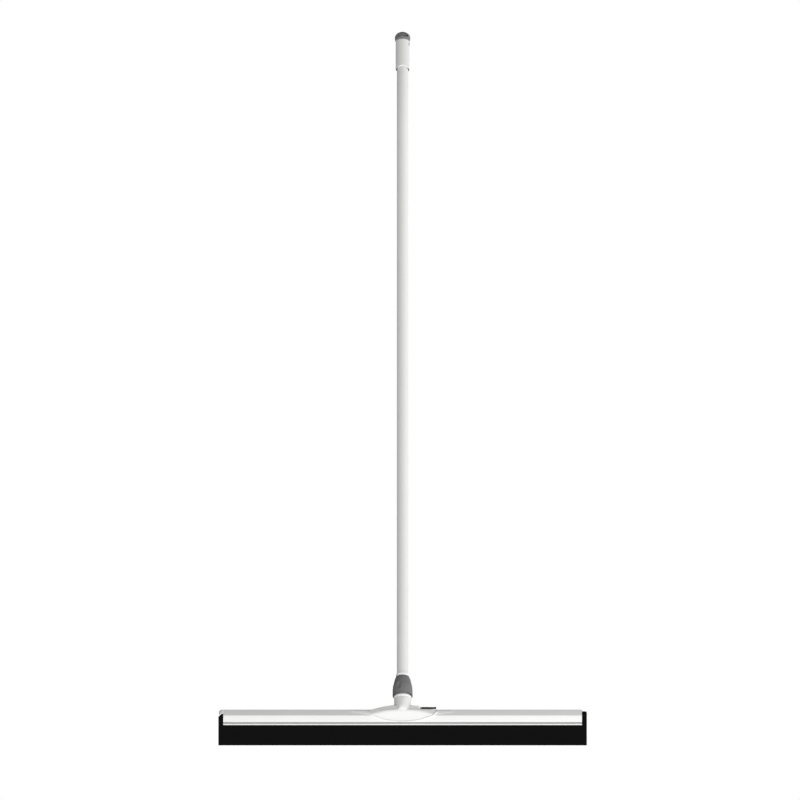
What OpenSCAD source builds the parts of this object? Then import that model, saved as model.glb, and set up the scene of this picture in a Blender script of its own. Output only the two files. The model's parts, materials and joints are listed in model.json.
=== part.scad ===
// Floor squeegee: double rubber blade in a sheet channel, saddle with a leaning neck, clamped tube handle.
// X runs along the blade, -Y is the front, Z is up. The origin is on the floor, midway between the blades.

/* [Blade cassette] */
// Length of the two rubber strips
blade_len = 750; // [450:10:900]
// Thickness of each rubber strip
blade_t = 9; // [7:0.5:11]
// Thickness of the carrier web between the strips
web_t = 6; // [5:0.5:8]
// Rubber that hangs free below the frame
blade_free = 41; // [30:1:55]
// How far the strips reach past each end of the frame
blade_overhang = 10; // [8:1:14]
// Height of the strips inside the channel
blade_hold = 19; // [17:0.5:20]

/* [Frame channel] */
// Thickness of the channel sheet
sheet_t = 1.2; // [0.8:0.1:1.5]
// Height of the lip below the groove
lip_h = 2.5; // [2:0.25:4]
// Height of the pinch groove
groove_h = 4; // [3.5:0.25:6]
// Depth of the pinch groove
groove_depth = 2.8; // [2:0.1:3.4]
// Height of the upright wall
wall_h = 13.5; // [13:0.5:20]
// Height of the sloping shoulder
shoulder_h = 11.5; // [10:0.5:13]
// Width of the flat ridge
ridge_w = 12; // [11:0.5:14]
// Reach of the roof past the left end of the walls, up to its fold
stop_flat = 5; // [4:0.5:6]
// Angle by which the left end of the roof is folded down
stop_fold = 45; // [35:1:50]
// Height of the folded roof end
stop_h = 7.5; // [6:0.5:8]

/* [Saddle] */
// Length of the saddle at the ridge
saddle_len = 148; // [140:2:160]
// Height of the pod above the ridge
pod_rise = 10; // [9:0.5:13]
// Radius of the pod's arched back
pod_arch = 200; // [190:5:220]
// Height of the pod's sloping facets
facet_h = 12; // [10:0.5:14]
// Radius of the arch in which the facets end on the front and the rear
facet_arch = 295; // [270:5:320]
// Thickness of the skirts over the frame walls
skirt_t = 2.4; // [2:0.1:3.5]
// Reach of the skirts below the ridge
skirt_drop = 22.6; // [18:0.2:25]
// Radius of the lower edge of the skirts
skirt_arch = 195; // [180:5:220]
// Reach of each tongue past the end of the saddle
tongue_len = 30; // [20:1:40]
// Thickness of the tongues
tongue_t = 1.2; // [1:0.1:2]

/* [Neck and clamp] */
// Lean of the handle towards the rear
lean = 25; // [15:1:30]
// Diameter of the neck
neck_d = 34.4; // [33:0.2:36]
// Height of the neck along the handle axis
neck_h = 34.5; // [32:0.5:40]
// Length of the threaded spigot above the neck
spigot_h = 24.5; // [22:0.5:28]
// Largest diameter of the lock nut
nut_d = 40.8; // [40:0.2:46]
// Radius of the nut's curved side
nut_side_r = 105; // [90:5:120]
// Number of finger dimples in the nut
dimple_count = 3; // [2:1:4]
// Number of slits in the collet
slit_count = 6; // [4:1:8]

/* [Handle] */
// Outside diameter of the tube
tube_d = 23.5; // [22:0.1:24]
// Wall of the tube
tube_wall = 1.2; // [1:0.1:2]
// Length of the tube
tube_len = 1475; // [900:5:1600]
// Outside diameter of the grip sleeve
sleeve_d = 28.4; // [27.6:0.2:29]
// Length of the grip sleeve
sleeve_len = 65; // [57:1:80]
// Length of tube inside the sleeve
sleeve_grip = 38; // [32:1:41]
// Largest diameter of the end cap
cap_d = 32; // [31:0.2:34]
// Height of the cap below its widest line
cap_skirt = 8; // [7:0.5:9]
// Height of the cap above its widest line
cap_dome = 12.5; // [11.5:0.5:14]
// Radius of the cap's round upper edge
cap_edge = 9.5; // [8.5:0.5:10.5]
// Height of the hanging slot
hang_h = 6; // [4.5:0.5:7]
// Width of the hanging slot
hang_w = 23; // [18:0.5:25]

/* [Cam lever] */
// Distance of the lever pin from the middle
lever_x = 37.5; // [37:0.5:41]
// Length of the lever from its pin
lever_len = 31; // [26:1:36]
// Width of the lever's thumb plate
lever_w = 14; // [12:0.5:18]
// Thickness of the lever
lever_t = 4.2; // [3.6:0.1:4.4]
// Diameter of the lever pin
lever_pin_d = 2.2; // [1.8:0.1:2.4]

/* [Hidden] */
$fn = 96;

// Clearances
pinch_gap = 0.3;     // rubber to groove
seat_gap = 0.1;      // saddle to frame
slide_fit = 0.08;    // tube in its bores, per side
press_fit = 0.05;    // plugs in the tube, per side
thread_gap = 0.3;    // nut to spigot
swing_gap = 0.3;     // lever to its neighbours
pin_fit = 0.05;      // pin in the lever

// Heights of the frame, from the floor up
lip_z = blade_free;
groove_z = lip_z + lip_h;
wall_z = groove_z + groove_h;
shoulder_z = wall_z + wall_h;
ridge_z = shoulder_z + shoulder_h;

// Half widths of the frame, from the middle outwards
core_y = web_t / 2 + blade_t;
groove_y = core_y + pinch_gap + sheet_t;
wall_y = groove_y + groove_depth;
lip_y = wall_y - 0.5;
frame_len = blade_len - 2 * blade_overhang;
frame_end = frame_len / 2;
roof_slope = shoulder_h / (wall_y - ridge_w / 2);

// Cassette
strip_top = blade_free + blade_hold;
head_room = 2.1;
foot_edge = 0.4;
carrier_top = ridge_z - sheet_t - head_room;

// Saddle
pod_y = wall_y + seat_gap + skirt_t;
pod_top = ridge_z + pod_rise;
saddle_end = saddle_len / 2;
screw_x = 24;
screw_r = 2;
screw_head_r = 3.8;
screw_head_h = 1.6;
screw_reach = 7;

// Stations along the handle axis, measured from its foot inside the pod
foot_y = -2;
foot_z = ridge_z - 7;
bore_s = 14;
rim_s = neck_h;
spigot_s = neck_h + spigot_h;
nut_s = rim_s + 2.8;
nut_straight_s = nut_s + 9;
nut_shoulder_s = spigot_s + 15.5;
nut_round = 7;
lip_s = nut_shoulder_s + 6.3;
lip_ring = 5;
plug_flange = 2;
tube_s = bore_s + 0.3 + plug_flange;
tube_top_s = tube_s + tube_len;
sleeve_s = tube_top_s - sleeve_grip;
cap_s = sleeve_s + sleeve_len;
cap_wide_s = cap_s + cap_skirt;
cap_top_s = cap_wide_s + cap_dome;
hang_s = cap_wide_s + 0.5;

// Radii about the handle axis
tube_r = tube_d / 2;
neck_r = neck_d / 2;
spigot_r = neck_r - 2.2;
nut_r = nut_d / 2;
nut_bore_r = spigot_r + thread_gap;
collet_neck_r = tube_r + 1.05;
nut_mouth_r = collet_neck_r + 0.35;
nut_shoulder_r = nut_r - nut_side_r + sqrt(pow(nut_side_r, 2) - pow(nut_shoulder_s - nut_straight_s, 2));

// Cam lever
lever_z = ridge_z + 1.3;
pin_z = lever_z + lever_t / 2;
lug_w = 4.6;
arm_w = 3;
arm_y = lug_w / 2 + swing_gap;
lobe_r = 2.4;
lobe_reach = pin_z - carrier_top - swing_gap;
notch_x = lever_x - lever_t / 2 - 0.9;
notch_z = lever_z - swing_gap;

white = [0.93, 0.93, 0.93];
mid_grey = [0.47, 0.47, 0.48];
dark_grey = [0.32, 0.32, 0.33];
black = [0.08, 0.08, 0.08];
steel = [0.7, 0.7, 0.72];

// Helpers for bent sheet
function unit(v) = v / norm(v);
function side_normal(a, b) = let (d = unit(b - a)) [-d[1], d[0]];
function wrapped(a) = a > 180 ? a - 360 : a < -180 ? a + 360 : a;

// Arc of radius r that rounds the corner q between p and s
function corner_arc(p, q, s, r, steps = 5) =
    let (
        u = unit(p - q),
        v = unit(s - q),
        half = acos(u * v) / 2,
        c = q + unit(u + v) * r / sin(half),
        from = q + u * r / tan(half) - c,
        to = q + v * r / tan(half) - c,
        start = atan2(from[1], from[0]),
        turn = wrapped(atan2(to[1], to[0]) - start)
    )
    [for (i = [0:steps]) c + r * [cos(start + turn * i / steps), sin(start + turn * i / steps)]];

// Open line with its inner corners rounded, one radius for each corner
function bent(pts, radii) = [
    for (i = [0:len(pts) - 1])
        each (radii[i] == 0 ? [pts[i]] : corner_arc(pts[i - 1], pts[i], pts[i + 1], radii[i]))
];

// Open line moved sideways by t, to its left
function shifted(pts, t) = [
    for (i = [0:len(pts) - 1])
        let (
            before = i == 0 ? side_normal(pts[0], pts[1]) : side_normal(pts[i - 1], pts[i]),
            after = i == len(pts) - 1 ? before : side_normal(pts[i], pts[i + 1]),
            m = unit(before + after)
        )
        pts[i] + m * t / (m * before)
];
function turned_round(pts) = [for (i = [len(pts) - 1:-1:0]) pts[i]];
function mirrored_line(pts) = concat(pts, [for (p = turned_round(pts)) [-p[0], p[1]]]);

// Outside of the channel, from the rear lip over the ridge to the front lip
side_corners = [
    [lip_y, lip_z],
    [lip_y, groove_z],
    [groove_y, groove_z + groove_h * 0.1],
    [groove_y, groove_z + groove_h * 0.9],
    [wall_y, wall_z],
    [wall_y, shoulder_z],
    [ridge_w / 2, ridge_z]
];
bend_r = sheet_t + 0.1;
side_radii = [0, bend_r, 0.3, 0.3, bend_r, 2, 2];
channel_line = bent(mirrored_line(side_corners), concat(side_radii, turned_round(side_radii)));

module along_x(length) rotate([90, 0, 90]) linear_extrude(length, center = true) children();
module along_y(length) rotate([90, 0, 0]) linear_extrude(length, center = true) children();
module on_axis() translate([0, foot_y, foot_z]) rotate([-lean, 0, 0]) children();
module rod(r, s0, s1) translate([0, 0, s0]) cylinder(r = r, h = s1 - s0);
module both_ends() for (side = [0, 1]) mirror([side, 0, 0]) children();
module front_and_rear() for (side = [0, 1]) mirror([0, side, 0]) children();

// Closed outline of the channel, grown by a gap
module channel_outline(gap) polygon(shifted(channel_line, -gap));

// Slots in the ridge through which the lever's lobes reach the carrier
module lobe_slots(gap) front_and_rear()
    translate([lever_x - lobe_r - gap, arm_y - gap, carrier_top])
    cube([lobe_reach + lobe_r + 2 * gap, arm_w + 2 * gap, lever_z - carrier_top]);

// Roof end that runs past the walls and is folded down over the left end of the cassette
module folded_stop() {
    run = stop_h / roof_slope;
    fold = [-frame_end - stop_flat, 0, ridge_z];
    reach = blade_overhang - 1 - stop_flat;
    flat_roof = mirrored_line([[ridge_w / 2 + run, -stop_h], [ridge_w / 2, 0]]);
    turned_roof = mirrored_line([[ridge_w / 2 + run, -stop_h * cos(stop_fold)], [ridge_w / 2, 0]]);
    translate(fold + [(stop_flat + 0.02) / 2, 0, 0]) along_x(stop_flat + 0.02) roof_sheet(flat_roof);
    intersection() {
        translate(fold) rotate([0, -stop_fold, 0]) along_x(10 * reach) roof_sheet(turned_roof);
        translate(fold - [reach, wall_y, ridge_z]) cube([reach + 0.02, 2 * wall_y, 2 * ridge_z]);
    }
}
module roof_sheet(roof) polygon(concat(roof, turned_round(shifted(roof, sheet_t))));

module frame_channel() color(white) difference() {
    union() {
        along_x(frame_len) polygon(concat(channel_line, turned_round(shifted(channel_line, sheet_t))));
        folded_stop();
    }
    lobe_slots(0.6);
    both_ends() translate([screw_x, 0, ridge_z - 4]) cylinder(r = screw_r + 0.2, h = 8);
}

// Slanted cut that keeps the cassette clear of the folded roof end
module under_stop() {
    roof_drop = (core_y + foot_edge - ridge_w / 2) * roof_slope + sheet_t * norm([1, roof_slope]);
    start = [-frame_end - stop_flat, ridge_z - roof_drop - 0.5];
    fall = 2 * blade_overhang;
    intersection() {
        children();
        along_y(4 * wall_y) polygon([
            [-blade_len, -1],
            [blade_len, -1],
            [blade_len, 2 * ridge_z],
            start + fall * [1, tan(stop_fold)] + [0, 2 * ridge_z],
            start + fall * [1, tan(stop_fold)],
            start - fall * [1, tan(stop_fold)],
            [-blade_len, start[1] - fall * tan(stop_fold)]
        ]);
    }
}

module cassette_carrier() color(black) under_stop() {
    foot = core_y + foot_edge;
    crown = ridge_w / 2 + 1;
    round_r = 3;
    difference() {
        along_x(blade_len) polygon(mirrored_line([
            [web_t / 2, blade_free - 3],
            [web_t / 2, strip_top],
            [foot, strip_top],
            [foot, strip_top + 1.5],
            [crown, carrier_top]
        ]));
        translate([blade_len / 2 - round_r, 0, carrier_top - round_r]) along_y(4 * wall_y) difference() {
            square(2 * round_r);
            circle(round_r);
        }
    }
}

module rubber_strip() translate([-blade_len / 2, -core_y, 0]) cube([blade_len, blade_t, strip_top]);
module front_blade() color(black) under_stop() rubber_strip();
module rear_blade() color(black) under_stop() mirror([0, 1, 0]) rubber_strip();

// Arched body of the saddle with a raised rim along its lower edge and its ends
module pod() {
    rim_w = 1.8;
    rim_t = 1.1;
    intersection() {
        faceted_disc(0);
        along_y(4 * pod_y) lens(0);
    }
    intersection() {
        faceted_disc(rim_t);
        along_y(4 * pod_y) difference() {
            lens(-0.3);
            lens(rim_w);
        }
    }
}

// Wide disc with sloping rims, grown by a thickness
module faceted_disc(grow) {
    facet_round = 6;
    side = pod_y + grow;
    edge = facet_arch + 0.4 * grow;
    rim = mirrored_line([[side, 0], [side, edge], [0.5, edge + (side - 0.5) * roof_slope]]);
    rounded_rim = bent(rim, [0, facet_round, 0, 0, facet_round, 0]);
    translate([0, 0, pod_top - facet_h - facet_arch]) rotate([90, 0, 0]) rotate_extrude($fn = 240)
        polygon([for (p = rounded_rim) [p[1], p[0]]]);
}

// Side view of the saddle, with its lower edge and its ends moved in
module lens(inset) intersection() {
    top = saddle_end + pod_rise - 1.4 * inset;
    bottom = saddle_end - 1.5 * skirt_drop - 1.4 * inset;
    translate([0, pod_top - pod_arch]) circle(pod_arch + inset, $fn = 240);
    translate([0, ridge_z - skirt_drop + skirt_arch]) circle(skirt_arch - inset, $fn = 240);
    polygon([
        [-top, pod_top],
        [top, pod_top],
        [bottom, ridge_z - 1.5 * skirt_drop],
        [-bottom, ridge_z - 1.5 * skirt_drop]
    ]);
}

// Tapered tongue on each shoulder of the frame, with a slanted upper edge
module tongues() intersection() {
    along_x(2 * (saddle_end + tongue_len)) difference() {
        intersection() {
            channel_outline(seat_gap + tongue_t);
            polygon(mirrored_line([
                [2 * wall_y, 0],
                [2 * wall_y, ridge_z - 0.6 - (2 * wall_y - ridge_w / 2) * tan(15)],
                [ridge_w / 2, ridge_z - 0.6]
            ]));
        }
        channel_outline(seat_gap);
    }
    both_ends() along_y(4 * wall_y) polygon([
        [saddle_end - 14, shoulder_z + 1.5],
        [saddle_end + tongue_len, ridge_z - 3.6],
        [saddle_end + tongue_len, ridge_z],
        [saddle_end - 14, ridge_z]
    ]);
}

// Neck with a round bead under the nut and the spigot that the nut turns on
module neck() on_axis() rotate_extrude() {
    bead_r = 2.8;
    translate([0, -10]) square([neck_r, rim_s + 10]);
    square([spigot_r, spigot_s]);
    translate([neck_r - bead_r + 1.3, rim_s]) circle(bead_r);
}

module saddle() color(white) difference() {
    union() {
        difference() {
            union() {
                pod();
                tongues();
                intersection() {
                    neck();
                    translate([-neck_d, -pod_y, ridge_z - 7]) cube([2 * neck_d, 40 * neck_d, 10 * neck_d]);
                }
            }
            along_x(3 * saddle_len) channel_outline(seat_gap);
            translate([notch_x, -2 * pod_y, notch_z]) cube([saddle_len, 4 * pod_y, 2 * pod_rise]);
        }
        lever_lug();
    }
    on_axis() rod(tube_r + slide_fit, bore_s, spigot_s + 1);
    both_ends() translate([screw_x, 0, ridge_z - 1]) cylinder(r = screw_r + press_fit, h = screw_reach + 1.3);
    lobe_slots(0.4);
    translate([lever_x, 0, pin_z]) along_y(4 * pod_y) circle(lever_pin_d / 2 + press_fit);
}

module lever_lug() translate([lever_x, 0, 0]) along_y(lug_w) {
    translate([0, pin_z]) circle(lever_t / 2 - 0.1);
    translate([-lever_t / 2 + 0.1, notch_z - 1]) square([lever_t - 0.2, pin_z - notch_z + 1]);
}

module saddle_screws() color(steel) both_ends() translate([screw_x, 0, ridge_z - sheet_t]) {
    cylinder(r = screw_r, h = sheet_t + screw_reach);
    translate([0, 0, -screw_head_h]) cylinder(r = screw_head_r, h = screw_head_h);
}

module cam_lever() color(dark_grey) difference() {
    union() {
        thumb_plate();
        front_and_rear() translate([0, arm_y + arm_w / 2, 0]) lever_arm();
    }
    translate([lever_x, 0, pin_z]) along_y(4 * lever_w) circle(lever_pin_d / 2 + pin_fit);
}

module thumb_plate() {
    corner_r = 3.5;
    start = lever_x + 6;
    end = lever_x + lever_len;
    difference() {
        translate([0, 0, lever_z]) linear_extrude(lever_t) {
            translate([start, -lever_w / 2]) square([end - corner_r - start, lever_w]);
            translate([start, -lever_w / 2 + corner_r]) square([end - start, lever_w - 2 * corner_r]);
            for (side = [-1, 1]) translate([end - corner_r, side * (lever_w / 2 - corner_r)]) circle(corner_r);
        }
        for (i = [0:3]) translate([end - 5 - 3 * i, 0, lever_z + lever_t + 0.5]) along_y(2 * lever_w) circle(1);
    }
}

// Arm with a round nose at the pin and a lobe that points down to the carrier
module lever_arm() translate([lever_x, 0, pin_z]) along_y(arm_w) {
    circle(lever_t / 2);
    translate([0, -lever_t / 2]) square([7, lever_t]);
    translate([0, lobe_r - lobe_reach]) circle(lobe_r);
    translate([-lever_t / 2, lobe_r - lobe_reach]) square([lever_t, lobe_reach - lobe_r]);
}

module lever_pin() color(steel)
    translate([lever_x, 0, pin_z]) along_y(2 * (arm_y + arm_w)) circle(lever_pin_d / 2);

// Split sleeve that the nut squeezes on the tube
module collet() color(white) on_axis() difference() {
    rotate_extrude() {
        foot_s = spigot_s + 0.3;
        foot_r = nut_bore_r - 0.6;
        neck_s = nut_shoulder_s;
        lip_r = collet_neck_r + 1.2;
        lip_round = 0.9;
        polygon([
            [tube_r + slide_fit, foot_s],
            [foot_r, foot_s],
            [foot_r, foot_s + 2],
            [collet_neck_r, neck_s],
            [collet_neck_r, lip_s + lip_ring],
            [tube_r + slide_fit, lip_s + lip_ring]
        ]);
        polygon([
            [tube_r, lip_s],
            [collet_neck_r + 0.1, lip_s],
            [lip_r, lip_s + lip_ring - lip_round],
            [lip_r - lip_round, lip_s + lip_ring],
            [tube_r, lip_s + lip_ring]
        ]);
        translate([lip_r - lip_round, lip_s + lip_ring - lip_round]) circle(lip_round);
    }
    rod(tube_r + slide_fit, 0, 2 * lip_s);
    for (i = [0:slit_count - 1]) rotate([0, 0, 360 / slit_count * (i + 0.5)])
        translate([0, -0.6, 0]) cube([nut_r, 1.2, nut_shoulder_s + 1]);
}

module nut_body() rotate_extrude() difference() {
    union() {
        translate([0, nut_s + 1.2]) square([nut_r, nut_straight_s - nut_s - 1.2]);
        translate([0, nut_s]) square([nut_r - 1.2, 2]);
        translate([nut_r - 1.2, nut_s + 1.2]) circle(1.2);
        intersection() {
            translate([nut_r - nut_side_r, nut_straight_s]) circle(nut_side_r, $fn = 240);
            translate([0, nut_straight_s]) square([nut_r, nut_shoulder_s - nut_straight_s]);
        }
        intersection() {
            translate([nut_shoulder_r - nut_round, nut_shoulder_s]) circle(nut_round);
            translate([0, nut_shoulder_s]) square(nut_r);
        }
    }
    polygon([
        [-1, nut_s - 1],
        [neck_r + 1.7, nut_s - 1],
        [neck_r + 1.7, nut_s + 3],
        [nut_bore_r, nut_s + 3.8],
        [nut_bore_r, spigot_s + 2.6],
        [nut_mouth_r, nut_shoulder_s],
        [nut_mouth_r, 2 * nut_shoulder_s],
        [-1, 2 * nut_shoulder_s]
    ]);
}

// Finger dimple: the outer rim of a ring pressed into the side of the nut
module dimple() {
    across_r = 9;
    along_r = 26;
    depth = 1.9;
    dimple_s = nut_s + 20.5;
    surface_r = nut_r - nut_side_r + sqrt(pow(nut_side_r, 2) - pow(dimple_s - nut_straight_s, 2));
    translate([surface_r - depth + along_r, 0, dimple_s])
        rotate([90, 0, 0]) rotate_extrude() translate([along_r - across_r, 0]) circle(across_r);
}

module lock_nut() color(mid_grey) on_axis() difference() {
    nut_body();
    for (i = [0:dimple_count - 1]) rotate([0, 0, -114 + 360 / dimple_count * i]) dimple();
}

module handle_tube() color(white) on_axis() difference() {
    rod(tube_r, tube_s, tube_top_s);
    rod(tube_r - tube_wall, tube_s - 1, tube_top_s + 1);
}

module tube_plug() color(dark_grey) on_axis() difference() {
    union() {
        rod(tube_r - 0.2, tube_s - plug_flange, tube_s);
        rod(tube_r - tube_wall - press_fit, tube_s, tube_s + 18);
    }
    rod(tube_r - tube_wall - 2, tube_s, tube_s + 19);
}

// Sleeve with an arched mouth, a stop for the tube's end and a window for the cap's snap lug
module grip_sleeve() color(white) on_axis() difference() {
    rotate_extrude() difference() {
        translate([0, sleeve_s]) square([sleeve_d / 2, sleeve_len]);
        translate([-1, sleeve_s - 1]) square([tube_r + press_fit + 1, sleeve_grip + 1]);
        translate([-1, sleeve_s - 1]) square([sleeve_d / 2 - 0.3, 6]);
        translate([-1, sleeve_s]) square([tube_r - tube_wall + 1, 2 * sleeve_len]);
        translate([-1, tube_top_s + 2]) square([tube_r + press_fit + 1, sleeve_len]);
    }
    mouth_arch();
    snap_lug(0.25);
}

// Disc that cuts an arch with a slanted edge into the front and the rear of the sleeve's mouth
module mouth_arch() {
    rise = 4;
    slant = 1.2;
    r = (pow(sleeve_d / 2, 2) + pow(rise, 2)) / (2 * rise);
    out_y = sleeve_d / 2 + 1;
    out_r = r + slant * (out_y - tube_r);
    translate([0, 0, sleeve_s + rise - r]) rotate([90, 0, 0]) rotate_extrude() polygon([
        [0, -out_y],
        [out_r, -out_y],
        [r, -tube_r],
        [r, tube_r],
        [out_r, out_y],
        [0, out_y]
    ]);
}

// Small lug on the right of the cap's plug that clicks into the sleeve
module snap_lug(gap) rotate([0, 0, -15]) translate([tube_r - 1, -2 - gap, cap_s - 10.2 - gap])
    cube([sleeve_d / 2 - tube_r + 1.6 + gap, 4 + 2 * gap, 6 + 2 * gap]);

// Outline of the cap: a plug, a skirt that swells to the widest line, a round edge and a flatter crown
module cap_profile() {
    skirt_r = 20;
    edge_r = cap_d / 2 - cap_edge;
    crown_r = (pow(cap_dome, 2) + pow(edge_r, 2) - pow(cap_edge, 2)) / (2 * (cap_dome - cap_edge));
    crown_s = cap_top_s - crown_r;
    join_s = crown_s + (cap_wide_s - crown_s) * crown_r / (crown_r - cap_edge);
    translate([0, tube_top_s + 2.5]) square([tube_r - press_fit, cap_s - tube_top_s - 2.5]);
    intersection() {
        translate([cap_d / 2 - skirt_r, cap_wide_s]) circle(skirt_r, $fn = 240);
        translate([0, cap_s]) square([cap_d, cap_skirt]);
    }
    translate([0, cap_wide_s]) square([edge_r, join_s - cap_wide_s]);
    intersection() {
        translate([edge_r, cap_wide_s]) circle(cap_edge);
        translate([0, cap_wide_s]) square([cap_d, join_s - cap_wide_s]);
    }
    intersection() {
        translate([0, crown_s]) circle(crown_r, $fn = 240);
        translate([0, join_s]) square([cap_d, cap_d]);
    }
}

module end_cap() color(dark_grey) on_axis() difference() {
    union() {
        rotate_extrude() cap_profile();
        snap_lug(0);
    }
    rod(tube_r - 3, tube_top_s, cap_s - 3);
    translate([0, 0, hang_s]) along_y(2 * cap_d) {
        end_x = (hang_w - hang_h) / 2;
        square([2 * end_x, hang_h], center = true);
        for (side = [-1, 1]) translate([side * end_x, 0]) circle(hang_h / 2);
    }
}

frame_channel();
cassette_carrier();
front_blade();
rear_blade();
saddle();
saddle_screws();
cam_lever();
lever_pin();
collet();
lock_nut();
handle_tube();
tube_plug();
grip_sleeve();
end_cap();
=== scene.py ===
# %% [markdown]
# Floor squeegee: two strips of black moss rubber in a white sheet channel, a white moulded saddle with a
# leaning neck, a grey lock nut and a long white tube with a grip sleeve and a dark end cap.
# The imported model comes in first. It fixes where every body sits and how it moves, so all that follows is
# only shape and finish on top of it.

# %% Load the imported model
import json
import math

import bmesh
import bpy
from mathutils import Matrix, Vector

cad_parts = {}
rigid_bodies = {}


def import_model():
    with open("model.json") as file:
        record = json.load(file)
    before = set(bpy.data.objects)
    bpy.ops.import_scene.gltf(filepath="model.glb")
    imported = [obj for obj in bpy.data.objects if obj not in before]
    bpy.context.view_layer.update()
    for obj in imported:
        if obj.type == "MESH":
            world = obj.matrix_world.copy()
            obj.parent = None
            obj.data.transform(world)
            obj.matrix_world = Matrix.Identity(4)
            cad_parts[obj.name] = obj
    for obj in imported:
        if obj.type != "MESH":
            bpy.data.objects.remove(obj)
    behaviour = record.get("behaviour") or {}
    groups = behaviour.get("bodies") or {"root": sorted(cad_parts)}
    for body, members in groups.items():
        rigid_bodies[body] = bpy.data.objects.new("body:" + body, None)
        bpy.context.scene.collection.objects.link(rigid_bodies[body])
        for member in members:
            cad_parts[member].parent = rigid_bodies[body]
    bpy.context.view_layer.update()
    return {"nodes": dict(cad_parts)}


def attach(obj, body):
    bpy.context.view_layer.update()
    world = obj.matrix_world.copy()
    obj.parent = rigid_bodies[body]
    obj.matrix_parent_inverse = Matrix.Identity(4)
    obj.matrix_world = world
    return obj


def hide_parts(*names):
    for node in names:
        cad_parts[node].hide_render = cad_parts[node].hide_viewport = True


for leftover in list(bpy.data.objects):
    bpy.data.objects.remove(leftover, do_unlink=True)
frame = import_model()
nodes = frame["nodes"]
print("CAD nodes:", ", ".join(sorted(nodes)))

# %% [markdown]
# Blender works in metres here, and a maker thinks in millimetres. One constant turns one into the other.
# The handle leans 25 degrees to the rear, and the neck, the nut, the collet and the grip are all turned
# round the same axis, so one matrix carries them from an upright position to their place.

# %% Units and the handle axis
MM = 0.001
LEAN = math.radians(25)
AXIS_FOOT = Vector((0, -2 * MM, 65.5 * MM))
handle_frame = Matrix.Translation(AXIS_FOOT) @ Matrix.Rotation(-LEAN, 4, "X")
print("handle points along", [round(v, 4) for v in handle_frame.to_3x3() @ Vector((0, 0, 1))])

# %% [markdown]
# Colours are picked as sRGB hex values, which is what a colour chart gives, and a shader wants linear light.
# A finish is a small tree of nodes, so one function adds a node, sets it up and links it.

# %% Colour and node helpers
def linear(hex_colour):
    """Linear RGBA of an sRGB hex value."""
    channels = [int(hex_colour[i:i + 2], 16) / 255 for i in (1, 3, 5)]
    return tuple(c / 12.92 if c <= 0.04045 else ((c + 0.055) / 1.055) ** 2.4 for c in channels) + (1.0,)


def add_node(tree, kind, inputs=None, **settings):
    """Adds a node. Inputs are values, or sockets to link from, by name or place."""
    made = tree.nodes.new(kind)
    for name, value in settings.items():
        setattr(made, name, value)
    for key, value in (inputs or {}).items():
        if isinstance(value, bpy.types.NodeSocket):
            tree.links.new(value, made.inputs[key])
        else:
            made.inputs[key].default_value = value
    return made


def per_metre(size_mm):
    """Texture scale that gives features of this size."""
    return 1000 / size_mm


print("white in linear light", [round(c, 3) for c in linear("#f0f0f0")])

# %% [markdown]
# Most surfaces here are one colour with a fine grain: powder coat has the orange peel of melted powder,
# moulded plastic has the spark-eroded grain of its mould. Both come from noise, with a size in millimetres,
# that varies the colour and the gloss a little and lifts the surface by hundredths of a millimetre. The grain
# reads Object coordinates, so it stays on the piece when the piece moves.

# %% A grained finish
GRAIN_SHARE = 0.35


def grained(name, light, dark, rough, grain_mm, lift_mm, patch_mm=40, stretch=(1, 1, 1), **constants):
    """Material whose colour drifts from dark to light in patches, with a raised grain."""
    material = bpy.data.materials.new(name)
    material.use_nodes = True
    tree = material.node_tree
    shader = tree.nodes["Principled BSDF"]
    place = add_node(tree, "ShaderNodeTexCoord").outputs["Object"]
    drawn = add_node(tree, "ShaderNodeMapping", {"Vector": place, "Scale": stretch}).outputs["Vector"]
    patch = add_node(
        tree, "ShaderNodeTexNoise", {"Vector": drawn, "Scale": per_metre(patch_mm), "Detail": 4.0}
    ).outputs["Fac"]
    grain = add_node(
        tree, "ShaderNodeTexNoise", {"Vector": drawn, "Scale": per_metre(grain_mm), "Detail": 3.0}
    ).outputs["Fac"]
    both = add_node(tree, "ShaderNodeMix", {0: GRAIN_SHARE, 2: patch, 3: grain}).outputs[0]
    colour = add_node(
        tree, "ShaderNodeMix", {0: both, 6: linear(dark), 7: linear(light)}, data_type="RGBA"
    )
    gloss = add_node(tree, "ShaderNodeMapRange", {0: both, 3: rough[0], 4: rough[1]})
    bump = add_node(tree, "ShaderNodeBump", {"Height": grain, "Distance": lift_mm * MM, "Strength": 1.0})
    tree.links.new(colour.outputs[2], shader.inputs["Base Color"])
    tree.links.new(gloss.outputs[0], shader.inputs["Roughness"])
    tree.links.new(bump.outputs["Normal"], shader.inputs["Normal"])
    for socket, value in constants.items():
        shader.inputs[socket.replace("_", " ")].default_value = value
    return material


# Powder coat on steel sheet: even white, half gloss, with a shallow orange peel.
coated_sheet = grained(
    "powder_coated_steel_sheet", "#f3f3f2", "#ececeb",
    rough=(0.34, 0.44), grain_mm=1.6, lift_mm=0.02, IOR=1.5,
)
# Powder coat on drawn aluminium tube: a little glossier than on the sheet, with a finer peel.
coated_tube = grained(
    "powder_coated_aluminium_tube", "#efefee", "#e8e8e7",
    rough=(0.28, 0.38), grain_mm=1.4, lift_mm=0.015, IOR=1.5,
)
print("powder coats:", coated_sheet.name, "and", coated_tube.name)

# %% [markdown]
# The plastics differ in colour, in gloss and in the depth of their grain, and the extruded one has die lines
# instead, which are the same grain drawn out along the strip. Zinc plating is a metal, with hardly any grain.
# The grain of a real mould is only a tenth or two of a millimetre across. Here it is drawn a few times
# coarser, because it would not show otherwise.

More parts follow.
